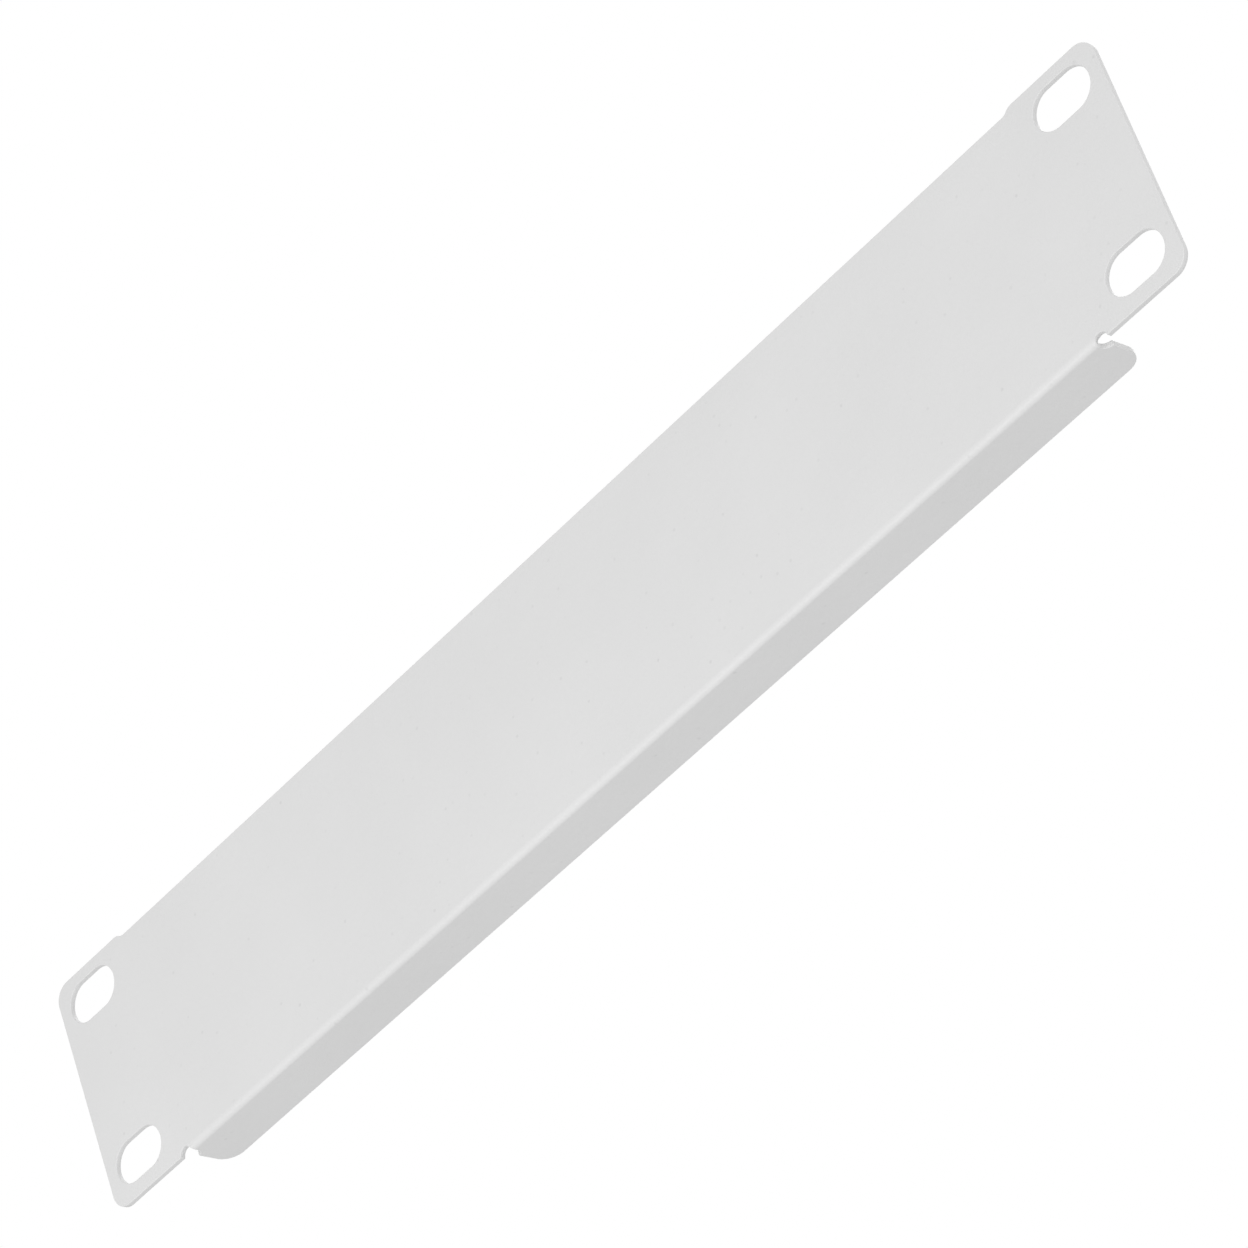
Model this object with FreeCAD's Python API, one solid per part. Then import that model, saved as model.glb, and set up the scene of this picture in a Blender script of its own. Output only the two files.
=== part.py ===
import FreeCAD, Part
import math
import os

# Rack blanking panel for a ten-inch rack, one unit high: a single steel sheet, punched flat
# and then folded once, backwards, along its lower edge. The two ends that stay flat are its ears.
# X runs along the width and Z up. The front face looks towards -Y and the flange goes back along +Y.
# The origin is the middle of the four slots, on the rear face, where the ears lie against the rack.
# The outlines are drawn from the middle of the front face's lower edge, and the whole panel is then moved.
# All sizes are in millimetres.

# Driving dimensions of the four slots for the rack screws
slot_pitch_across = 236.525
slot_pitch_up = 31.75
slot_length = 11.5
slot_width = 7.4

# Driving dimensions of the sheet, from the slots' middles to the ears' edges
sheet_thickness = 1.0
slot_to_ear_end = 8.2
slot_to_ear_top = 5.8
slot_to_ear_bottom = 6.4
ear_corner_radius = 3.2

# Driving dimensions of the shallow step down from each ear to the middle of the top edge
step_depth = 0.8
step_length = 2.2
step_from_ear_end = 16.5

# Driving dimensions of the fold and the flange
inner_fold_radius = 0.2
neutral_share = 0.4
panel_depth = 9.9
flange_corner_radius = 3.3

# Driving dimensions of the round relief hole at each end of the fold
relief_from_ear_end = 18.4
relief_margin = 0.1
relief_above_fold = 0.05
relief_sections = 12

# How far a cutting solid stands past the metal that it cuts
cut_margin = 1.0

# Sizes that follow. The flange's outer face is level with the ears' lower edges,
# so the fold starts one outer radius above them.
half_width = slot_pitch_across / 2 + slot_to_ear_end
panel_height = slot_to_ear_bottom + slot_pitch_up + slot_to_ear_top
outer_fold_radius = inner_fold_radius + sheet_thickness
fold_top = outer_fold_radius
neutral_radius = inner_fold_radius + neutral_share * sheet_thickness
fold_flat_length = neutral_radius * math.pi / 2

# A relief hole is punched in the flat sheet and reaches a little above the line where the fold
# starts. Its centre is given by its distance below that line, along the flat sheet.
relief_x = half_width - relief_from_ear_end
relief_radius = outer_fold_radius + relief_margin
relief_below_fold = relief_radius - relief_above_fold

x_axis = FreeCAD.Vector(1, 0, 0)
y_axis = FreeCAD.Vector(0, 1, 0)
z_axis = FreeCAD.Vector(0, 0, 1)

# A point of the line that the fold turns about
fold_centre = FreeCAD.Vector(0, outer_fold_radius, fold_top)


def on_front(x, z):
    return FreeCAD.Vector(x, 0, z)


def on_underside(x, y):
    return FreeCAD.Vector(x, y, 0)


# Three points of an arc, with its angles in degrees from the axis across towards the axis up
def arc(centre, radius, across, up, start, end):
    points = []
    for angle in (start, (start + end) / 2, end):
        turn = math.radians(angle)
        points.append(centre + across * (radius * math.cos(turn)) + up * (radius * math.sin(turn)))
    return points


# A flat face within a closed outline of corners (one point) and arcs (three points),
# joined by straight lines where they don't meet
def outlined_face(stops):
    edges = []
    for stop, following in zip(stops, stops[1:] + stops[:1]):
        if len(stop) == 3:
            edges.append(Part.Arc(*stop).toShape())
        if not stop[-1].isEqual(following[0], 1e-7):
            edges.append(Part.LineSegment(stop[-1], following[0]).toShape())
    return Part.Face(Part.Wire(edges))


# The two tangent arcs of the step, from the ear's top edge down to the middle's
def step_arcs():
    start_x = half_width - step_from_ear_end
    radius = (step_length ** 2 + step_depth ** 2) / (4 * step_depth)
    sweep = math.degrees(2 * math.atan(step_depth / step_length))
    upper_centre = on_front(start_x, panel_height - radius)
    lower_centre = on_front(start_x - step_length, panel_height - step_depth + radius)
    return [
        arc(upper_centre, radius, x_axis, z_axis, 90, 90 + sweep),
        arc(lower_centre, radius, x_axis, z_axis, sweep - 90, -90),
    ]


# The arc that the relief hole cuts out of the flat front, from the line where the fold starts
# round to the ear's lower edge
def relief_arc_in_front():
    centre = on_front(relief_x, fold_top - relief_below_fold)
    start = 180 - math.degrees(math.asin(relief_below_fold / relief_radius))
    end = math.degrees(math.asin(-centre.z / relief_radius))
    return arc(centre, relief_radius, x_axis, z_axis, start, end)


def slot(height):
    centre_x = slot_pitch_across / 2
    reach = (slot_length - slot_width) / 2
    stops = [
        arc(on_front(centre_x + reach, height), slot_width / 2, x_axis, z_axis, -90, 90),
        arc(on_front(centre_x - reach, height), slot_width / 2, x_axis, z_axis, 90, 270),
    ]
    face = outlined_face(stops)
    face.translate(y_axis * -cut_margin)
    return face.extrude(y_axis * (sheet_thickness + 2 * cut_margin))


# The right half of the flat front with its ear, down to the line where the fold starts
def front_half():
    corner_x = half_width - ear_corner_radius
    stops = [
        [on_front(0, fold_top)],
        relief_arc_in_front(),
        arc(on_front(corner_x, ear_corner_radius), ear_corner_radius, x_axis, z_axis, -90, 0),
        arc(on_front(corner_x, panel_height - ear_corner_radius), ear_corner_radius, x_axis, z_axis, 0, 90),
    ]
    stops += step_arcs()
    stops.append([on_front(0, panel_height - step_depth)])
    front = outlined_face(stops).extrude(y_axis * sheet_thickness)
    for height in (slot_to_ear_bottom, slot_to_ear_bottom + slot_pitch_up):
        front = front.cut(slot(height))
    return front


# The relief hole where it wraps round the fold. Each section stands on a line that runs straight
# through the sheet, at an even step round the rim of the hole as it was punched.
def wrapped_relief():
    start = math.acos(relief_below_fold / relief_radius)
    end = math.acos((relief_below_fold - fold_flat_length) / relief_radius)
    step = (end - start) / relief_sections
    sections = []
    for number in range(-1, relief_sections + 2):
        rim = start + number * step
        flat_distance = relief_below_fold - relief_radius * math.cos(rim)
        turn = flat_distance / neutral_radius
        outward = y_axis * -math.cos(turn) + z_axis * -math.sin(turn)
        near_x = relief_x - relief_radius * math.sin(rim)
        far_x = relief_x + cut_margin
        inner = fold_centre + outward * (inner_fold_radius / 2)
        outer = fold_centre + outward * (outer_fold_radius + cut_margin)
        corners = [
            inner + x_axis * near_x,
            outer + x_axis * near_x,
            outer + x_axis * far_x,
            inner + x_axis * far_x,
        ]
        sections.append(Part.makePolygon(corners + corners[:1]))
    return Part.makeLoft(sections, True, False)


# The right half of the fold, a quarter turn between the flat front and the flange
def fold_half():
    stops = [
        arc(fold_centre, outer_fold_radius, y_axis, z_axis, 180, 270),
        arc(fold_centre, inner_fold_radius, y_axis, z_axis, 270, 180),
    ]
    return outlined_face(stops).extrude(x_axis * relief_x).cut(wrapped_relief())


# The right half of the flange. Its end stands at the middle of the relief hole.
def flange_half():
    relief_y = outer_fold_radius + relief_below_fold - fold_flat_length
    start = 180 + math.degrees(math.asin((relief_y - outer_fold_radius) / relief_radius))
    corner = on_underside(relief_x - flange_corner_radius, panel_depth - flange_corner_radius)
    stops = [
        [on_underside(0, outer_fold_radius)],
        arc(on_underside(relief_x, relief_y), relief_radius, x_axis, y_axis, start, 90),
        arc(corner, flange_corner_radius, x_axis, y_axis, 0, 90),
        [on_underside(0, panel_depth)],
    ]
    return outlined_face(stops).extrude(z_axis * sheet_thickness)


def blanking_panel():
    right = front_half().fuse([fold_half(), flange_half()])
    left = right.mirror(FreeCAD.Vector(0, 0, 0), x_axis)
    panel = right.fuse(left).removeSplitter()
    panel.translate(FreeCAD.Vector(0, -sheet_thickness, -(slot_to_ear_bottom + slot_pitch_up / 2)))
    return panel


os.makedirs("parts", exist_ok=True)
panel = blanking_panel()
print("solids", len(panel.Solids), "valid", panel.isValid(), "volume", round(panel.Volume, 3))
panel.Solids[0].exportStep("parts/blanking_panel.step")
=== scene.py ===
import math

import bpy
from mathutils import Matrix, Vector


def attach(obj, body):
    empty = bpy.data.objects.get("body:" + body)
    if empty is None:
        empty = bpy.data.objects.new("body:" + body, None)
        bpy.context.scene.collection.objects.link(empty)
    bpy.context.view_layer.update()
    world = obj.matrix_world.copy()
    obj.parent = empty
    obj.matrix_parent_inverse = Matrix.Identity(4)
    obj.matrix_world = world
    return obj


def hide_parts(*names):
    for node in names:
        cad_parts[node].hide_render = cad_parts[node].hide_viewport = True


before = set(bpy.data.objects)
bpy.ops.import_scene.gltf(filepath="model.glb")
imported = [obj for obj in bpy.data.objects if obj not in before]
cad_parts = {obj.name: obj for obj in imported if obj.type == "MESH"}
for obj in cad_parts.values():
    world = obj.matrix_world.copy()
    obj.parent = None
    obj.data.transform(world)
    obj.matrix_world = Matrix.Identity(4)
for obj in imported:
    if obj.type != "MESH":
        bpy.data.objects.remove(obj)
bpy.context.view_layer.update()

# Rack blanking panel: one steel sheet, punched flat, folded once along its lower edge and coated
# light grey. Metres. X runs along the width, Z is up and the front face looks towards -Y.

print("frame loaded")

# Helpers that pick parts of a mesh by their place, round and merge them, and apply modifiers

samePlace = 1e-5  # how far off a part may lie and still be the one meant
weldDistance = 3e-6  # points closer than this become one


def startClean():
    if bpy.context.mode != "OBJECT":
        bpy.ops.object.mode_set(mode="OBJECT")
    bpy.ops.object.select_all(action="DESELECT")


def pickOnly(piece):
    startClean()
    piece.select_set(True)
    bpy.context.view_layer.objects.active = piece


# Goes into edit mode with nothing chosen, to choose edges or faces next
def clearChoice(kind):
    bpy.ops.object.mode_set(mode="EDIT")
    bpy.ops.mesh.select_mode(type=kind)
    bpy.ops.mesh.select_all(action="DESELECT")


# Goes into edit mode with only the edges chosen whose two ends pass the test
def pickEdges(piece, test):
    clearChoice("EDGE")
    bpy.ops.object.mode_set(mode="OBJECT")
    corners = piece.data.vertices
    for edge in piece.data.edges:
        edge.select = test(corners[edge.vertices[0]].co, corners[edge.vertices[1]].co)
    bpy.ops.object.mode_set(mode="EDIT")


# The same for faces, by their middle and their normal
def pickFaces(piece, test):
    clearChoice("FACE")
    bpy.ops.object.mode_set(mode="OBJECT")
    for face in piece.data.polygons:
        face.select = test(face.center, face.normal)
    bpy.ops.object.mode_set(mode="EDIT")


# An edge that runs straight through the sheet at this place, on the left or the right
def throughSheet(start, end, x, z):
    atX = abs(start.x - end.x) < samePlace and abs(abs(start.x) - x) < samePlace
    atZ = abs(start.z - z) + abs(end.z - z) < samePlace
    return atX and atZ


def roundChosen(radius, steps):
    bpy.ops.mesh.bevel(offset=radius, segments=steps, affect="EDGES", clamp_overlap=False)


def cutAcross(place, direction):
    bpy.ops.mesh.select_all(action="SELECT")
    bpy.ops.mesh.bisect(plane_co=place, plane_no=direction)


# Merges the points that lie in one place, and leaves edit mode
def weld():
    bpy.ops.mesh.select_all(action="SELECT")
    bpy.ops.mesh.remove_doubles(threshold=weldDistance)
    bpy.ops.object.mode_set(mode="OBJECT")


def applyModifier(piece, kind, settings):
    bpy.context.view_layer.objects.active = piece
    modifier = piece.modifiers.new(kind.lower(), kind)
    for setting, value in settings.items():
        setattr(modifier, setting, value)
    bpy.ops.object.modifier_apply(modifier=modifier.name)


# The sheet

sheet = {
    "slotPitchAcross": 0.236525,
    "slotPitchUp": 0.03175,
    "slotLength": 0.0115,
    "slotWidth": 0.0074,
    "thickness": 0.001,
    "slotToEarEnd": 0.0082,
    "slotToEarTop": 0.0058,
    "slotToEarBottom": 0.0064,
    "earCorner": 0.0032,
    "stepDepth": 0.0008,  # the middle's top edge is this much lower than the ears
    "stepLength": 0.0022,
    "stepFromEarEnd": 0.0165,
    "innerFold": 0.0002,
    "neutralShare": 0.4,  # where in the thickness the fold keeps its length
    "depth": 0.0099,
    "flangeCorner": 0.0033,
    "reliefFromEarEnd": 0.0184,
    "reliefRadius": 0.0013,
    "reliefAboveFold": 0.00005,
    "frontEdge": 0.00014,  # the punch rolls the front edges over
    "rearEdge": 0.00012,  # the coat alone rounds the rear ones
    "cornerEdge": 0.00006,  # and the sharp corners of the outline
    "cornerSteps": 24,
    "stepArcSteps": 10,
    "reliefSteps": 12,
    "foldSteps": 14,
    "edgeSteps": 3,
    "softenFrom": 40,  # degrees: edges sharper than this are softened
    "smoothUpTo": 35,  # degrees: edges flatter than this are shaded smooth
}

halfWidth = sheet["slotPitchAcross"] / 2 + sheet["slotToEarEnd"]
earTop = sheet["slotPitchUp"] / 2 + sheet["slotToEarTop"]
earBottom = -sheet["slotPitchUp"] / 2 - sheet["slotToEarBottom"]
outerFold = sheet["innerFold"] + sheet["thickness"]
neutralRadius = sheet["innerFold"] + sheet["neutralShare"] * sheet["thickness"]
foldTop = earBottom + outerFold
foldBottom = foldTop - neutralRadius * math.pi / 2  # still flat
flangeBottom = foldBottom - (sheet["depth"] - outerFold)
reliefX = halfWidth - sheet["reliefFromEarEnd"]
reliefZ = foldTop + sheet["reliefAboveFold"] - sheet["reliefRadius"]

punchDepth = 4 * sheet["thickness"]  # well past both faces
nearFace = sheet["thickness"] / 10  # an edge no deeper than this belongs to the face
fullRoundGap = 1e-7  # a full round stops this short of the middle, and the weld closes it
stepArcShare = 0.9999  # the two arcs of the step all but meet
flatWithin = 0.5  # degrees: faces this nearly level with each other become one


# A block with its four through-going edges rounded. Its size is width, height and depth.
def roundedBlock(name, middleX, middleZ, size, radius, steps):
    width, height, depth = size
    startClean()
    place = (middleX, -sheet["thickness"] / 2, middleZ)
    bpy.ops.mesh.primitive_cube_add(size=1, location=place, scale=(width, depth, height))
    block = bpy.context.object
    block.name = name
    bpy.ops.object.transform_apply(location=True, rotation=True, scale=True)
    pickEdges(block, lambda start, end: abs(start.y - end.y) > depth / 2)
    roundChosen(radius, steps)
    weld()
    return block


# The flat outline: the ears' blank, the shallow step in its top edge, and the flange drawn out
# of its lower edge
def flatOutline():
    size = (2 * halfWidth, earTop - earBottom, sheet["thickness"])
    middleZ = (earTop + earBottom) / 2
    blank = roundedBlock("blankingPanel", 0, middleZ, size, sheet["earCorner"], sheet["cornerSteps"])

    slope = 2 * math.atan(sheet["stepDepth"] / sheet["stepLength"])
    stepRadius = (sheet["stepLength"] ** 2 + sheet["stepDepth"] ** 2) / (4 * sheet["stepDepth"])
    stepReach = stepRadius * math.tan(slope / 2)
    shoulderX = halfWidth - sheet["stepFromEarEnd"] - stepReach
    footX = halfWidth - sheet["stepFromEarEnd"] - sheet["stepLength"] + stepReach

    def middleTop(start, end):
        onTop = min(start.z, end.z) > earTop - samePlace
        return onTop and max(abs(start.x), abs(end.x)) < footX + samePlace

    def middleBottom(middle, normal):
        return normal.z < -0.9 and abs(middle.x) < reliefX

    def stepTurn(start, end):
        turns = ((shoulderX, earTop), (footX, earTop - sheet["stepDepth"]))
        return any(throughSheet(start, end, x, z) for x, z in turns)

    def flangeEnd(start, end):
        return throughSheet(start, end, reliefX, flangeBottom)

    bpy.ops.object.mode_set(mode="EDIT")
    for x in (shoulderX, footX, reliefX):
        cutAcross((x, 0, 0), (1, 0, 0))
        cutAcross((-x, 0, 0), (1, 0, 0))
    pickEdges(blank, middleTop)
    bpy.ops.transform.translate(value=(0, 0, -sheet["stepDepth"]))
    pickFaces(blank, middleBottom)
    drop = {"value": (0, 0, flangeBottom - earBottom)}
    bpy.ops.mesh.extrude_region_move(TRANSFORM_OT_translate=drop)
    bpy.ops.mesh.select_all(action="SELECT")
    bpy.ops.mesh.dissolve_limited(angle_limit=math.radians(flatWithin))
    pickEdges(blank, stepTurn)
    roundChosen(stepReach * stepArcShare, sheet["stepArcSteps"])
    pickEdges(blank, flangeEnd)
    roundChosen(sheet["flangeCorner"], sheet["cornerSteps"])
    bpy.ops.object.mode_set(mode="OBJECT")
    return blank


# A punch with round ends at the first place, copied to the others
def punchesAt(name, places, width, height, steps):
    firstX, firstZ = places[0]
    size = (width, height, punchDepth)
    first = roundedBlock(name, firstX, firstZ, size, height / 2 - fullRoundGap, steps)
    punches = [first]
    for x, z in places[1:]:
        pickOnly(first)
        bpy.ops.object.duplicate()
        bpy.ops.transform.translate(value=(x - firstX, 0, z - firstZ))
        bpy.ops.object.transform_apply(location=True, rotation=True, scale=True)
        punches.append(bpy.context.object)
    return punches


# Takes the four slots and the two relief holes out of the sheet, all at once
def punchHoles(blank):
    across, up = sheet["slotPitchAcross"] / 2, sheet["slotPitchUp"] / 2
    slotPlaces = ((-across, -up), (across, -up), (-across, up), (across, up))
    length, width = sheet["slotLength"], sheet["slotWidth"]
    punches = punchesAt("slotPunch", slotPlaces, length, width, sheet["cornerSteps"])
    reliefPlaces = ((-reliefX, reliefZ), (reliefX, reliefZ))
    relief = 2 * sheet["reliefRadius"]
    punches += punchesAt("reliefPunch", reliefPlaces, relief, relief, sheet["reliefSteps"])
    startClean()
    for punch in punches:
        punch.select_set(True)
    bpy.context.view_layer.objects.active = punches[0]
    bpy.ops.object.join()
    applyModifier(blank, "BOOLEAN", {"object": punches[0], "operation": "DIFFERENCE", "solver": "EXACT"})
    bpy.ops.object.mode_set(mode="EDIT")
    weld()
    pickOnly(punches[0])
    bpy.ops.object.delete()


# How wide the soft edge is at this depth: on the front, on the rear or straight through the sheet
def edgeWidth(depth):
    if depth < nearFace - sheet["thickness"]:
        return sheet["frontEdge"]
    if depth > -nearFace:
        return sheet["rearEdge"]
    return sheet["cornerEdge"]


def softenEdges(panel):
    pickOnly(panel)
    clearChoice("EDGE")
    bpy.ops.mesh.edges_select_sharp(sharpness=math.radians(sheet["softenFrom"]))
    bpy.ops.object.mode_set(mode="OBJECT")
    softness = panel.data.attributes.new(name="bevel_weight_edge", type="FLOAT", domain="EDGE")
    corners = panel.data.vertices
    for edge in panel.data.edges:
        if edge.select:
            depth = (corners[edge.vertices[0]].co.y + corners[edge.vertices[1]].co.y) / 2
            softness.data[edge.index].value = edgeWidth(depth) / sheet["frontEdge"]
    applyModifier(panel, "BEVEL", {
        "width": sheet["frontEdge"],
        "segments": sheet["edgeSteps"],
        "limit_method": "WEIGHT",
        "use_clamp_overlap": False,
    })
    panel.data.attributes.remove(panel.data.attributes["bevel_weight_edge"])


# Notes on each point how far it lies from the faces towards the punched walls: 0 on the two faces,
# rising over the soft edges to 1 on the walls, where the coat is thinner and where shade is painted
def markWallShare(panel):
    wallShare = panel.data.attributes.new(name="wallShare", type="FLOAT", domain="POINT")
    for point in panel.data.vertices:
        fromFront, fromRear = point.co.y + sheet["thickness"], -point.co.y
        share = min(fromFront / sheet["frontEdge"], fromRear / sheet["rearEdge"], 1)
        wallShare.data[point.index].value = max(share, 0)


# Folds the flange back: cuts across the strip that bends, then a quarter turn from the fold line
def foldFlange(panel):
    pickOnly(panel)
    bpy.ops.object.mode_set(mode="EDIT")
    for number in range(sheet["foldSteps"] + 1):
        height = foldTop + (foldBottom - foldTop) * number / sheet["foldSteps"]
        cutAcross((0, 0, height), (0, 0, 1))
    bpy.ops.object.mode_set(mode="OBJECT")
    markWallShare(panel)

    middlePart = panel.vertex_groups.new(name="middlePart")
    inside = [point.index for point in panel.data.vertices if abs(point.co.x) < reliefX + samePlace]
    middlePart.add(inside, 1.0, "REPLACE")
    bpy.ops.object.empty_add(location=(0, sheet["innerFold"] - neutralRadius, foldTop))
    foldLine = bpy.context.object
    heights = [point.co.z for point in panel.data.vertices]
    low, tall = min(heights), max(heights) - min(heights)
    applyModifier(panel, "SIMPLE_DEFORM", {
        "deform_method": "BEND",
        "deform_axis": "X",
        "angle": math.pi / 2,
        "origin": foldLine,
        "vertex_group": middlePart.name,
        "limits": ((foldBottom - low) / tall, (foldTop - low) / tall),
    })
    panel.vertex_groups.clear()
    pickOnly(foldLine)
    bpy.ops.object.delete()


panel = flatOutline()
print("flat sheet", len(panel.data.polygons), "faces")
punchHoles(panel)
print("slots and relief holes punched", len(panel.data.polygons), "faces")
softenEdges(panel)
print("edges softened", len(panel.data.polygons), "faces")
foldFlange(panel)
print("flange folded", len(panel.data.polygons), "faces")
pickOnly(panel)
bpy.ops.object.shade_smooth_by_angle(angle=math.radians(sheet["smoothUpTo"]))
applyModifier(panel, "WEIGHTED_NORMAL", {"keep_sharp": True, "weight": 50})

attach(panel, "root")
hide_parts("blanking_panel")

# The coat

coat = {
    "grey": 0.72,
    "greySwing": 0.01,
    "cloudSize": 0.03,
    "roughness": 0.54,
    "roughnessSwing": 0.05,
    "roughnessSize": 0.006,
    "peelSize": 0.0018,  # the coat's soft waves
    "peelHeight": 0.00004,
    "grainSize": 0.0003,  # the baked powder
    "grainHeight": 0.00003,
    "speckEvery": 0.003,
    "speckSize": 0.00038,
    "speckHeart": 0.4,  # the share of a speck's size that is as dark as it gets
    "speckDepth": 0.1,
    "wallCoatAndShadeDepth": 0.01,  # how much darker the punched walls are: partly their thinner coat, partly painted shade in the holes
    "edgeRoughness": 0.06,
    "rubSize": 0.001,  # small rubbed places along the soft edges
    "rubFrom": 0.58,  # the level of the pattern from which a place is rubbed at all
    "rubFull": 0.66,
    "rubDepth": 0.14,
}

cloudLow, cloudHigh = 0.3, 0.7  # where the level of a cloud pattern mostly lies


def lightGreyCoat():
    material = bpy.data.materials.new("lightGreyCoat")
    material.use_nodes = True
    nodes, links = material.node_tree.nodes, material.node_tree.links
    shader = nodes["Principled BSDF"]
    place = nodes.new("ShaderNodeTexCoord").outputs["Object"]

    def cloud(size, detail):
        texture = nodes.new("ShaderNodeTexNoise")
        texture.inputs["Scale"].default_value = 1 / size
        texture.inputs["Detail"].default_value = detail
        links.new(place, texture.inputs["Vector"])
        return texture.outputs["Fac"]

    def span(source, fromLow, fromHigh, toLow, toHigh):
        node = nodes.new("ShaderNodeMapRange")
        names = ("From Min", "From Max", "To Min", "To Max")
        for name, value in zip(names, (fromLow, fromHigh, toLow, toHigh)):
            node.inputs[name].default_value = value
        links.new(source, node.inputs["Value"])
        return node.outputs["Result"]

    # Spreads a cloud to either side of a middle value
    def swing(source, middle, reach):
        return span(source, cloudLow, cloudHigh, middle - reach, middle + reach)

    def darken(source, depth):
        return span(source, 0, 1, 1, 1 - depth)

    def combine(operation, first, second):
        node = nodes.new("ShaderNodeMath")
        node.operation = operation
        links.new(first, node.inputs[0])
        links.new(second, node.inputs[1])
        return node.outputs["Value"]

    def bump(source, height):
        node = nodes.new("ShaderNodeBump")
        node.inputs["Strength"].default_value = 1.0
        node.inputs["Distance"].default_value = height
        links.new(source, node.inputs["Height"])
        return node

    # How far a point lies from the faces towards the punched walls: it sets the walls' duller coat, the
    # rubbed places and the painted shade on the walls
    wallAttribute = nodes.new("ShaderNodeAttribute")
    wallAttribute.attribute_name = "wallShare"
    towardsWall = wallAttribute.outputs["Fac"]

    # Faint clouds of lighter and darker grey
    grey = swing(cloud(coat["cloudSize"], detail=4), coat["grey"], coat["greySwing"])

    # Tiny specks under the coat, each of its own strength
    specks = nodes.new("ShaderNodeTexVoronoi")
    specks.inputs["Scale"].default_value = 1 / coat["speckEvery"]
    links.new(place, specks.inputs["Vector"])
    speckShare = coat["speckSize"] / coat["speckEvery"]
    speck = span(specks.outputs["Distance"], coat["speckHeart"] * speckShare, speckShare, 1, 0)
    strength = nodes.new("ShaderNodeSeparateColor")
    links.new(specks.outputs["Color"], strength.inputs["Color"])
    speck = combine("MULTIPLY", speck, strength.outputs["Red"])

    # Rubbed places, only where the edge turns from face to wall
    turning = combine("MULTIPLY", span(towardsWall, 0, 0.5, 0, 1), span(towardsWall, 0.5, 1, 1, 0))
    worn = span(cloud(coat["rubSize"], detail=3), coat["rubFrom"], coat["rubFull"], 0, 1)
    rubbed = combine("MULTIPLY", turning, worn)

    # The punched walls and soft edges are darkened here: partly a thinner coat, partly painted shade in
    # the holes
    darker = ((speck, coat["speckDepth"]), (towardsWall, coat["wallCoatAndShadeDepth"]), (rubbed, coat["rubDepth"]))
    for source, depth in darker:
        grey = combine("MULTIPLY", grey, darken(source, depth))
    colour = nodes.new("ShaderNodeCombineColor")
    for channel in ("Red", "Green", "Blue"):
        links.new(grey, colour.inputs[channel])
    links.new(colour.outputs["Color"], shader.inputs["Base Color"])

    # The coat is a little duller on the punched walls
    roughness = cloud(coat["roughnessSize"], detail=3)
    roughness = swing(roughness, coat["roughness"], coat["roughnessSwing"])
    roughness = combine("ADD", roughness, span(towardsWall, 0, 1, 0, coat["edgeRoughness"]))
    links.new(roughness, shader.inputs["Roughness"])

    # The coat's soft waves, and the fine grain of the baked powder on them
    waves = bump(cloud(coat["peelSize"], detail=1), coat["peelHeight"])
    grain = bump(cloud(coat["grainSize"], detail=2), coat["grainHeight"])
    links.new(waves.outputs["Normal"], grain.inputs["Normal"])
    links.new(grain.outputs["Normal"], shader.inputs["Normal"])
    return material


panel.data.materials.clear()
panel.data.materials.append(lightGreyCoat())
print("coat on")

# Floor, light and camera

studio = {
    "ambient": 0.74,
    "floorLevel": -1.4,
    "floorSize": 24,
    "floorGrey": 0.7,
    "floorRoughness": 0.9,
    "floorLift": 0.42,  # what the camera sees of the floor beside its own light
    "lampDistance": 0.9,
    "lampSize": 0.5,
    "lamps": {  # degrees round from the front, degrees up, and power
        "frontLamp": (-15, -41, 3.43),
        "rightLamp": (75, -15, 1.9),
        "backLamp": (180, 45, 2.2),
    },
}

camera = {
    "sensor": 36,  # millimetres, as the lens
    "lens": 166.056,
    "place": (0.450901, -0.592311, -0.483197),
    "turn": (124.81589, 16.73349, 47.95618),  # degrees
}

pureWhite = (1, 1, 1, 1)


# Grey for the light that falls on it, and lifted to white for the camera alone
def paleFloor():
    startClean()
    bpy.ops.mesh.primitive_plane_add(size=studio["floorSize"], location=(0, 0, studio["floorLevel"]))
    floor = bpy.context.object
    floor.name = "paleFloor"
    material = bpy.data.materials.new("paleFloor")
    material.use_nodes = True
    nodes, links = material.node_tree.nodes, material.node_tree.links
    shader = nodes["Principled BSDF"]
    shader.inputs["Base Color"].default_value = (studio["floorGrey"],) * 3 + (1,)
    shader.inputs["Roughness"].default_value = studio["floorRoughness"]
    shader.inputs["Emission Color"].default_value = pureWhite
    path = nodes.new("ShaderNodeLightPath")
    lift = nodes.new("ShaderNodeMath")
    lift.operation = "MULTIPLY"
    lift.inputs[1].default_value = studio["floorLift"]
    links.new(path.outputs["Is Camera Ray"], lift.inputs[0])
    links.new(lift.outputs["Value"], shader.inputs["Emission Strength"])
    floor.data.materials.append(material)


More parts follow.
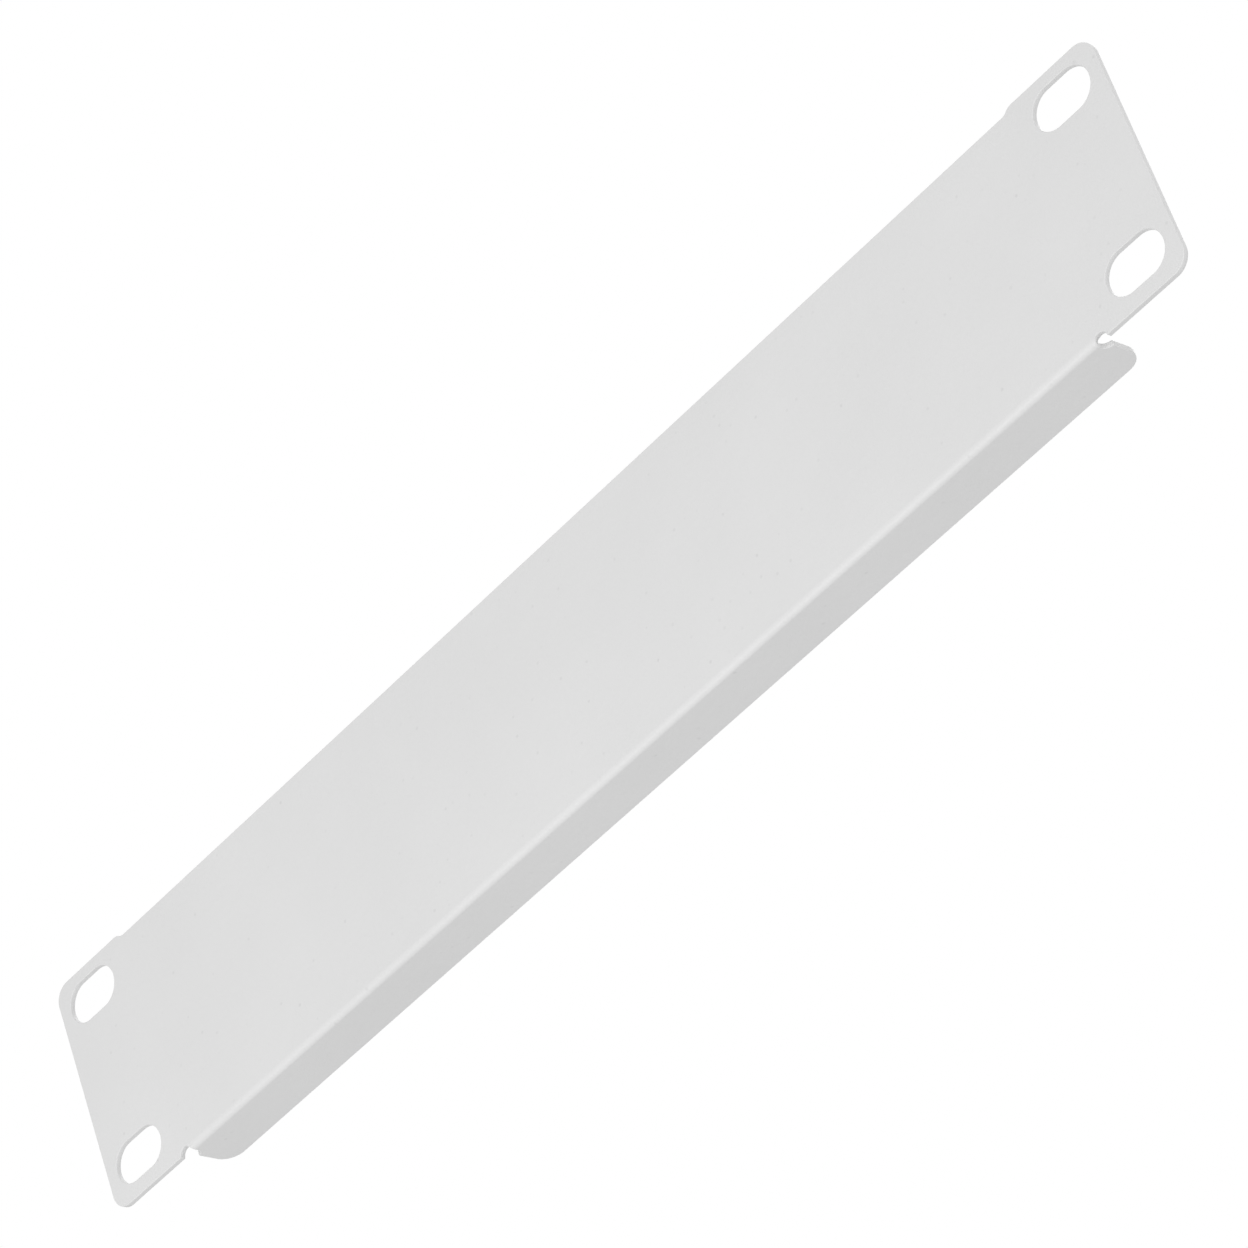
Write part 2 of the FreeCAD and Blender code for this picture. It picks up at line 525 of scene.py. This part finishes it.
# Soft light from all round, and white for the camera and in reflections
def studioWorld():
    world = bpy.data.worlds.new("softStudio")
    bpy.context.scene.world = world
    world.use_nodes = True
    nodes, links = world.node_tree.nodes, world.node_tree.links
    dim = nodes["Background"]
    dim.inputs["Color"].default_value = pureWhite
    dim.inputs["Strength"].default_value = studio["ambient"]
    white = nodes.new("ShaderNodeBackground")
    white.inputs["Color"].default_value = pureWhite
    white.inputs["Strength"].default_value = 1
    path = nodes.new("ShaderNodeLightPath")
    seen = path.outputs["Is Camera Ray"]
    for ray in ("Is Glossy Ray", "Is Transmission Ray"):
        either = nodes.new("ShaderNodeMath")
        either.operation = "MAXIMUM"
        links.new(seen, either.inputs[0])
        links.new(path.outputs[ray], either.inputs[1])
        seen = either.outputs["Value"]
    mix = nodes.new("ShaderNodeMixShader")
    links.new(seen, mix.inputs["Fac"])
    links.new(dim.outputs["Background"], mix.inputs[1])
    links.new(white.outputs["Background"], mix.inputs[2])
    links.new(mix.outputs["Shader"], nodes["World Output"].inputs["Surface"])


# Round soft lamps at one distance from the panel, each turned towards its middle
def hangLamps():
    for name, (roundDegrees, upDegrees, power) in studio["lamps"].items():
        turn, rise = math.radians(roundDegrees), math.radians(upDegrees)
        level = math.cos(rise)
        away = Vector((math.sin(turn) * level, -math.cos(turn) * level, math.sin(rise)))
        startClean()
        bpy.ops.object.light_add(type="AREA", location=away * studio["lampDistance"])
        lamp = bpy.context.object
        lamp.name = name
        lamp.rotation_euler = away.to_track_quat("Z", "Y").to_euler()
        lamp.data.shape = "DISK"
        lamp.data.size = studio["lampSize"]
        lamp.data.energy = power
        lamp.visible_camera = False


def photoCamera():
    startClean()
    turn = [math.radians(angle) for angle in camera["turn"]]
    bpy.ops.object.camera_add(location=camera["place"], rotation=turn)
    view = bpy.context.object
    view.data.sensor_width = camera["sensor"]
    view.data.lens = camera["lens"]
    bpy.context.scene.camera = view


paleFloor()
studioWorld()
hangLamps()
photoCamera()
bpy.context.scene.view_settings.view_transform = "Standard"
print("studio ready")
